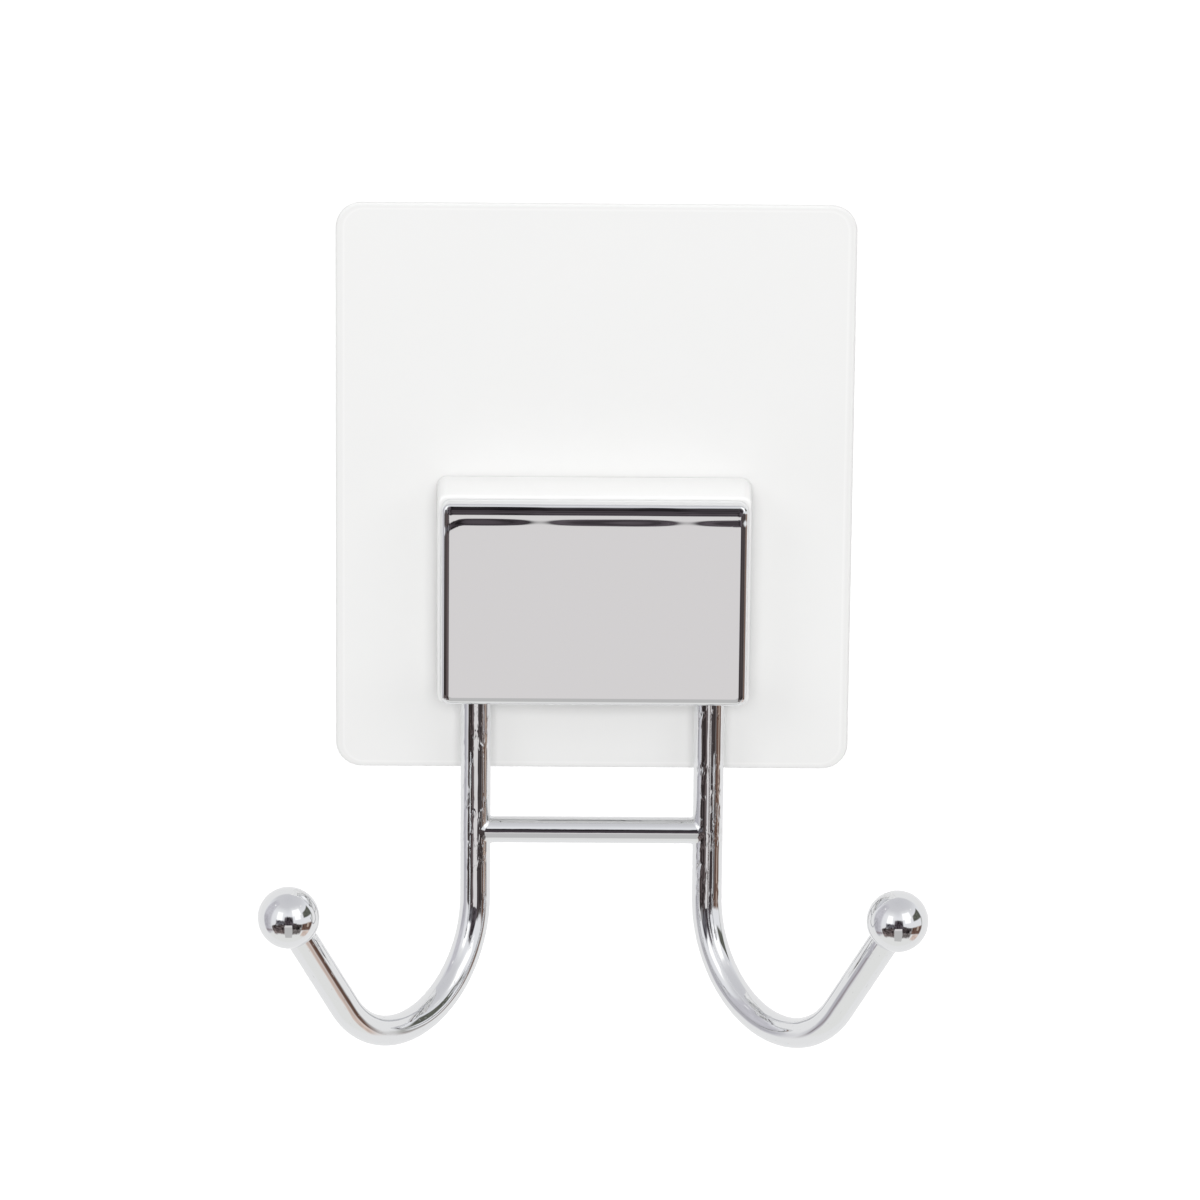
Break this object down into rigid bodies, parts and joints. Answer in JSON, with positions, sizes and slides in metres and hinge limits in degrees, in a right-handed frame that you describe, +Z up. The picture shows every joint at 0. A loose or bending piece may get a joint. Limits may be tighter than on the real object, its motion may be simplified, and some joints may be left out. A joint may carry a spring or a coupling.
{
  "type": "adhesive double hook",
  "caption": "Stick-on bathroom double hook: a plate glued to the wall carries a lift-off white and chrome block with splayed chromed wire hooks ending in balls.",
  "frame": {"origin": "centre of the adhesive face that sticks to the wall", "axes": "+X to the right as seen from the front, +Y into the wall, +Z up; the object stands out from the wall towards -Y"},
  "size_m": [0.1084, 0.0503, 0.1372],
  "materials": {
    "adhesive": "matte",
    "milky_plastic": "satin",
    "white_plastic": "satin",
    "cover_chrome": "polished",
    "wire_chrome": "polished",
    "zinc_steel": "satin"
  },
  "bodies": {
    "wall_plate": {"adhesive_pad": "adhesive", "back_plate": "milky_plastic"},
    "hook_unit": {"housing": "white_plastic", "chrome_cover": "cover_chrome", "cross_bar": "wire_chrome", "left_hook": "wire_chrome", "right_hook": "wire_chrome", "left_ball": "wire_chrome", "right_ball": "wire_chrome", "left_screw": "zinc_steel", "right_screw": "zinc_steel"}
  },
  "joints": [
    {"name": "hook_lift_off", "type": "slide", "parent": "wall_plate", "child": "hook_unit", "axis": [0, 0, 1], "range_m": [0, 0.032]}
  ]
}
